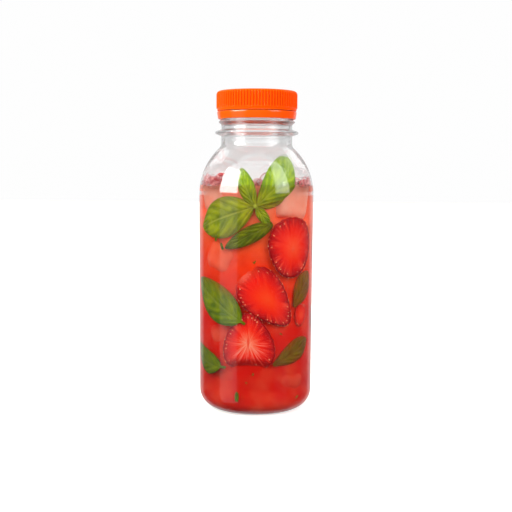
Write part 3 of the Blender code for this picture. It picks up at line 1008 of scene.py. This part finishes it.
def add_leaf(batch, wall, leaf, place, rows=56, columns=36):
    """A thin wavy leaf behind the wall, with veins in relief."""
    stalk, tip = Vector(leaf.stalk), Vector(leaf.tip)
    reach = radians(1.0) * wall.inside(0.5 * (stalk.y + tip.y))
    along = Vector(((tip.x - stalk.x) * reach, tip.y - stalk.y))
    length = along.length
    along.normalize()
    across = Vector((-along.y, along.x))
    points, flat, faces = [], [], []
    for side in (-1.0, 1.0):
        for row in range(rows + 1):
            share = row / rows
            blade = max(0.0, (share - leaf.stem) / (1.0 - leaf.stem))
            half = leaf_half_width(blade, leaf.width, leaf.fullest)
            thickness = LEAF_THICKNESS * min(1.0, 0.35 + half)
            belly = sin(pi * share)
            for column in range(columns + 1):
                offset = 2.0 * column / columns - 1.0
                spot = along * (share * length) + across * (half * offset + leaf.bend * belly)
                edge = sqrt(max(0.04, 1.0 - offset ** 6))
                depth = stalk.z + (tip.z - stalk.z) * share
                depth += (leaf.cup * offset * offset - leaf.roll * offset - leaf.curl) * belly
                depth += LEAF_WAVE * sin(tau * LEAF_WAVES * share) * abs(offset)
                depth += side * 0.5 * thickness * edge - leaf_relief(share, offset)
                points.append(place(stalk.x + spot.x / reach, stalk.y + spot.y, depth))
                flat.append((0.5 + 0.5 * offset, blade))
    step = columns + 1
    back = (rows + 1) * step
    for row in range(rows):
        for column in range(columns):
            corner = row * step + column
            ring = (corner, corner + 1, corner + 1 + step, corner + step)
            faces.append(ring)
            faces.append(tuple(back + index for index in reversed(ring)))
    rim = list(range(columns))
    rim += [row * step + columns for row in range(rows)]
    rim += [rows * step + column for column in range(columns, 0, -1)]
    rim += [row * step for row in range(rows, 0, -1)]
    for here, there in zip(rim, rim[1:] + rim[:1]):
        faces.append((there, here, back + here, back + there))
    batch.add(points, faces, Leaf=flat, Tone=[(leaf.shade, 0.0)] * len(points))


def ball(centre, radius, stretch=(1.0, 1.0, 1.0), turn=None, rings=6, sides=8):
    """A small rounded grain, as points and faces."""
    outline = [(radius * sin(pi * row / rings), -radius * cos(pi * row / rings))
               for row in range(rings + 1)]
    outline[0] = (0.0, -radius)
    outline[-1] = (0.0, radius)
    points, faces = turned(outline, sides)
    matrix = turn or Matrix.Identity(3)
    moved = [Vector(centre) + matrix @ Vector([value * size for value, size in zip(point, stretch)])
             for point in points]
    return moved, faces


def bubble_rim(centre, radius, stretch, steps=28, sides=6):
    """The edge of a bubble that is pressed against the wall, as points and faces."""
    outward = Vector((centre.x, centre.y, 0.0)).normalized()
    upward = Vector((0.0, 0.0, 1.0))
    beside = upward.cross(outward)
    points = []
    for step in range(steps):
        turn = tau * step / steps
        for side in range(sides):
            around = tau * side / sides
            reach = radius + RIM_TUBE * cos(around)
            spot = beside * (stretch * reach * cos(turn)) + upward * (reach * sin(turn))
            points.append(centre + spot + outward * (RIM_TUBE * sin(around)))
    return points, stitch([range(row * sides, (row + 1) * sides) for row in range(steps)], closed=True)


def make_leaves(wall):
    """The sprig that stands out of the drink, and the leaves that are sunk in it."""
    sprig = Batch()
    for leaf in SPRIG_LEAVES:
        add_leaf(sprig, wall, leaf, wall.place)
    points, faces = ball(wall.place(*SPRIG_NODE), SPRIG_NODE_RADIUS, rings=12, sides=16)
    sprig.add(points, faces, Leaf=[(0.5, 0.2)] * len(points), Tone=[(1.0, 0.0)] * len(points))
    # The sprig's leaves are painted 1.7 times lighter than the sunk ones, as painted light.
    fresh = basil_material("basil_fresh", wall, 1.7, 0.3, 0.14)
    sprig.piece("basil_sprig_leaves", fresh, "basil", "basil_sprig")
    sunk = Batch()
    for leaf in SUNK_LEAVES:
        add_leaf(sunk, wall, leaf, wall.seen)
    for angle, height, depth, length, turn in FLECKS:
        lean = radians(turn)
        reach = degrees(length * sin(lean) / wall.inside(height))
        tip = (angle + reach, height + length * cos(lean), depth)
        fleck = Leaf((angle, height, depth), tip, 0.45 * length, 0.5, 0.1, 0.1)
        add_leaf(sunk, wall, fleck, wall.seen, rows=10, columns=6)
    sunk.piece("sunk_basil", basil_material("basil_sunk", wall, 1.0, 0.8, WETTED_GLOSS), "basil")


def berry_outline(berry, turn):
    """Edge of a lengthwise cut through a strawberry: broad shoulders, blunt tip, small dip."""
    half_width, half_length = berry.half
    x = half_width * sin(turn) * (1.0 - berry.taper * cos(turn))
    dip = berry.dip * half_length * exp(-((abs(turn) - pi) / 0.35) ** 2)
    y = -half_length * cos(turn) - dip
    around = Vector((cos(turn), sin(turn), half_length))
    return Vector((x, y)) * (1.0 + 0.025 * noise.noise(around * 2.3))


def berry_spot(berry, wall, flat, depth):
    """Move a point of the slice's plane to its place in the drink."""
    lean = radians(berry.turn)
    x = flat.x * cos(lean) - flat.y * sin(lean)
    y = flat.x * sin(lean) + flat.y * cos(lean)
    angle, height, front = berry.at
    angle += degrees(x / wall.inside(height))
    beside = smooth_step(abs(flat.x) / berry.half[0], 0.45, 0.95)
    front += berry.sink * smooth_step(flat.y / berry.half[1], 0.50, 1.0) * (1.0 - beside)
    return wall.seen(angle, height + y, front + depth)


def add_slice(batch, wall, berry, spokes=144):
    """A slab of strawberry: cut front, rounded skin with dimples, cut back."""
    thick = SLICE_THICKNESS
    rings = [(share, 0.35 * share ** 2 - 0.2 * exp(-(share / 0.25) ** 2), 0.42 * share)
             for share in between(0.0, 0.96, 16)[1:]]
    rings += [(1.0, 0.55, 0.44), (1.035, 0.3 * thick, 0.47), (1.045, 0.5 * thick, 0.5)]
    rings += [(1.03, 0.75 * thick, 0.53)]
    rings += [(share, thick, 1.0 - 0.42 * share) for share in (0.96, 0.7, 0.4, 0.15)]
    points, rim, plane = [], [], []
    for share, depth, ring in rings:
        for spoke in range(spokes):
            turn = tau * (spoke / spokes) - pi
            flat = berry_outline(berry, turn) * share
            dimple = 0.22 * sin(turn * 23.0 + ring * 40.0) if 0.43 < ring < 0.57 else 0.0
            flat *= 1.0 - dimple / berry.half[1]
            points.append(berry_spot(berry, wall, flat, depth))
            rim.append((spoke / spokes, ring))
            plane.append(tuple(0.5 + 0.5 * value / half for value, half in zip(flat, berry.half)))
    for depth, ring in ((-0.2, 0.0), (thick, 1.0)):
        points.append(berry_spot(berry, wall, Vector((0.0, 0.0)), depth))
        rim.append((0.0, ring))
        plane.append((0.5, 0.5))
    rows = [range(row * spokes, (row + 1) * spokes) for row in range(len(rings))]
    rows = [[len(points) - 2]] + rows + [[len(points) - 1]]
    batch.add(points, stitch(rows), Rim=rim, Plane=plane)


def add_seeds(batch, wall, berry, draws):
    """Seeds in the skin round the slice's edge, and the cut ones just inside it."""
    around = int(SEEDS_AROUND * berry.half[1] / 14.0)
    for number in range(around):
        for share, depth in ((0.90, 0.20), (1.03, 0.9), (1.03, 2.0)):
            if draws.random() < 0.5:
                continue
            turn = tau * (number + draws.uniform(-0.3, 0.3)) / around - pi
            flat = berry_outline(berry, turn) * share
            spot = berry_spot(berry, wall, flat, depth)
            outward = Vector((spot.x, spot.y, 0.0)).normalized()
            long_way = berry_spot(berry, wall, flat * 1.02, depth) - spot
            long_way = (long_way - outward * long_way.dot(outward)).normalized()
            frame = Matrix((outward.cross(long_way), long_way, outward)).transposed()
            batch.add(*ball(spot, draws.uniform(0.24, 0.38), (0.8, 1.2, 0.7), frame))


def make_berries(wall):
    """The slices of strawberry and their seeds."""
    draws = random.Random(SEED)
    seeds = Batch()
    for number, berry in enumerate(BERRY_SLICES):
        batch = Batch()
        add_slice(batch, wall, berry)
        name = f"berry_slice_{number}"
        batch.piece(name, berry_material(name, wall, berry), "drink")
        add_seeds(seeds, wall, berry, draws)
    seeds.piece("berry_seeds", seed_material(wall), "drink")


def ice_shape(block, seed, edge, cells=14):
    """A melting block: rounded cube with hollowed faces, as points and faces."""
    half = Vector(block.size) * 0.5
    turn = radians(block.facing)
    place = Vector((sin(turn) * block.out, -cos(turn) * block.out, block.height))
    matrix = Matrix.Translation(place) @ Matrix.Rotation(turn, 4, "Z")
    matrix = matrix @ Matrix.Rotation(radians(block.tilt), 4, "Y")
    points, faces, known = [], [], {}

    def corner(spot):
        """One point of the block for each point of its grid, made when first asked for."""
        key = tuple(round(value * cells) for value in spot)
        if key not in known:
            cube = Vector(spot) * 2.0 - Vector((1.0, 1.0, 1.0))
            solid = Vector([value * size for value, size in zip(cube, half)])
            core = Vector([min(size - edge, max(edge - size, value)) for value, size in zip(solid, half)])
            lean = solid - core
            out = core + lean.normalized() * edge if lean.length > TINY else solid
            hollow = 1.0 - sorted(abs(value) for value in cube)[1]
            out -= out.normalized() * ICE_DENT * smooth_step(hollow, 0.0, 1.0)
            out *= 1.0 + 0.02 * noise.noise(out * 0.22 + Vector((seed, 0.0, 0.0)))
            known[key] = len(points)
            points.append(matrix @ out)
        return known[key]

    for axis, level, row, column in product(range(3), (0.0, 1.0), range(cells), range(cells)):
        ring = []
        for step_row, step_column in ((0, 0), (1, 0), (1, 1), (0, 1)):
            spot = [0.0, 0.0, 0.0]
            spot[axis] = level
            spot[(axis + 1) % 3] = (row + step_row) / cells
            spot[(axis + 2) % 3] = (column + step_column) / cells
            ring.append(corner(spot))
        faces.append(tuple(ring if level else reversed(ring)))
    return points, faces


def make_ice(wall):
    """The two blocks that break the surface, wet above it, and the sunk ones."""
    top_look = sunk_ice_material("surface_ice", wall, (0.98, 0.80, 0.68), 0.50, 0.95, 0.3)
    wet_look = wet_ice_material()
    for number, (node, block) in enumerate(ICE_BLOCKS.items()):
        piece = one_piece(node + "_block", ice_shape(block, number + 1.0, ICE_EDGE), top_look, "ice", node)
        piece.data.materials.append(wet_look)
        for face in piece.data.polygons:
            face.material_index = int(face.center.z > (LEVEL + 0.4) * MM)
    sunk = Batch()
    for number, block in enumerate(SUNK_ICE):
        sunk.add(*ice_shape(block, number + 5.0, SUNK_ICE_EDGE))
    sunk.piece("sunk_ice", sunk_ice_material("sunk_ice", wall, (0.98, 0.46, 0.28), 0.20, 0.60, 0.95), "ice")


def make_froth(wall):
    """Bubbles that gather against the wall and round the ice, and the red drop on the ice."""
    draws = random.Random(SEED + 1)
    batch, rims = Batch(), Batch()
    for middle, spread, count, high, behind in FROTH:
        for _ in range(count):
            angle = draws.gauss(middle, spread * 0.6)
            radius = 0.5 + 1.3 * draws.random() ** 1.5
            height = LEVEL + draws.triangular(FROTH_LOW, high)
            spot = wall.place(angle, height, radius + behind + draws.random() ** 2 * 3.0)
            batch.add(*ball(spot, radius, (1.0, 1.0, 0.8), rings=10, sides=16))
            if height > LEVEL - 0.3:
                spot = wall.place(angle, height, RIM_TUBE + behind + draws.random())
                rims.add(*bubble_rim(spot, radius, draws.uniform(0.9, 1.5)))
    batch.piece("froth", bubble_material(), "drink")
    rims.piece("froth_rims", froth_rim_material(), "drink")
    drop = ball(wall.place(*RED_DROP), RED_DROP_RADIUS, (1.3, 1.0, 0.8), rings=12, sides=20)
    one_piece("red_drop", drop, drop_material(), "drink")


def make_stage():
    """A plain pale floor."""
    bpy.ops.mesh.primitive_plane_add(size=FLOOR_SIZE)
    floor = bpy.context.object
    floor.name = "floor"
    tree = Tree("floor")
    colour = tree.mix(tree.noise(tree.place(), 3.0, 1.0), (0.90, 0.90, 0.90), (0.93, 0.93, 0.93))
    floor.data.materials.append(tree.surface(
        Base_Color=colour, Roughness=0.8, Emission_Color=(1.0, 1.0, 1.0), Emission_Strength=0.55))
    floor.visible_glossy = False
    floor.visible_transmission = False
    floor.visible_diffuse = False


def within(tree, value, low, high, blur):
    """1 between two limits and 0 outside them, with blurred edges."""
    return tree.step(value, low - blur, low + blur) * tree.step(value, high - blur, high + blur, 1.0, 0.0)


def make_studio():
    """White surroundings. What the gloss mirrors is a darker studio with softboxes."""
    world = bpy.data.worlds.new("studio")
    bpy.context.scene.world = world
    tree = Tree("studio", world)
    x, y, z = tree.split(tree.make("TexCoord", {}, "Generated"))
    azimuth = tree.math("DEGREES", tree.math("ARCTAN2", x, y * -1.0))
    elevation = tree.math("DEGREES", tree.math("ARCSINE", z))
    off = abs(azimuth)
    around = tree.step(off, *BACK_WALL).at_least(tree.step(azimuth, *RIGHT_WALL))
    wide = tree.step(off, *WIDE_WALL) * tree.step(elevation, *WIDE_WALL_HEIGHT)
    tall = tree.step(off, *HIGH_WALL) * tree.step(elevation, *HIGH_WALL_HEIGHT)
    around = (around.at_least(wide) * BACKDROP).at_least(tall)
    around = around.at_least(tree.step(elevation, *CEILING)).at_least(DIM_FRONT)
    for left, right, low, high, strength in PANELS:
        panel = within(tree, azimuth, left, right, PANEL_SIDE_BLUR)
        around = around + panel * within(tree, elevation, low, high, PANEL_END_BLUR) * strength
    behind = tree.step(off, *CLEAR_VIEW, CLEAR_LEVEL, 1.0)
    through = behind.at_least(around * (1.0 - CLEAR_LEVEL))
    level = tree.mix(tree.ray("Transmission"), around, through)
    walls = tree.mix(tree.step(azimuth, -60.0, 60.0), DIFFUSE_LEFT, DIFFUSE_RIGHT)
    level = tree.mix(tree.ray("Diffuse"), level, walls)
    level = tree.mix(tree.ray("Camera"), level, (0.99, 0.99, 0.99))
    tree.finish(tree.make("Background", {"Color": level}))
    world.cycles.sampling_method = "NONE"


def make_lamp(name, azimuth, elevation, distance, size, power):
    """A square softbox that faces the bottle, at a direction from behind the camera."""
    lamp = bpy.data.lights.new(name, "AREA")
    lamp.shape = "SQUARE"
    lamp.size = size
    lamp.energy = power
    piece = put_in_scene(name, lamp)
    turn, rise = radians(azimuth), radians(elevation)
    direction = Vector((sin(turn) * cos(rise), -cos(turn) * cos(rise), sin(rise)))
    piece.location = direction * distance + Vector((0.0, 0.0, LAMPS_AIM))
    piece.rotation_euler = direction.to_track_quat("Z", "Y").to_euler()
    piece.visible_glossy = False


def make_camera():
    """Camera at the photograph's angle."""
    camera = put_in_scene("camera", bpy.data.cameras.new("camera"))
    camera.data.lens = CAMERA_LENS
    camera.data.clip_start = 0.01
    camera.matrix_world = (
        Matrix.Translation(CAMERA_PLACE)
        @ Matrix.Rotation(radians(90.0 - CAMERA_PITCH), 4, "X")
        @ Matrix.Rotation(radians(CAMERA_ROLL), 4, "Z")
    )
    bpy.context.scene.camera = camera


def main():
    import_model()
    make_camera()
    make_stage()
    make_studio()
    for lamp in LAMPS:
        make_lamp(*lamp)
    bpy.context.scene.view_settings.view_transform = "Standard"
    _, high = unit_box("bottle")
    wall = Wall(high.x)
    make_bottle(wall)
    make_cap()
    make_band()
    make_drink(wall)
    make_leaves(wall)
    make_berries(wall)
    make_ice(wall)
    make_froth(wall)


main()
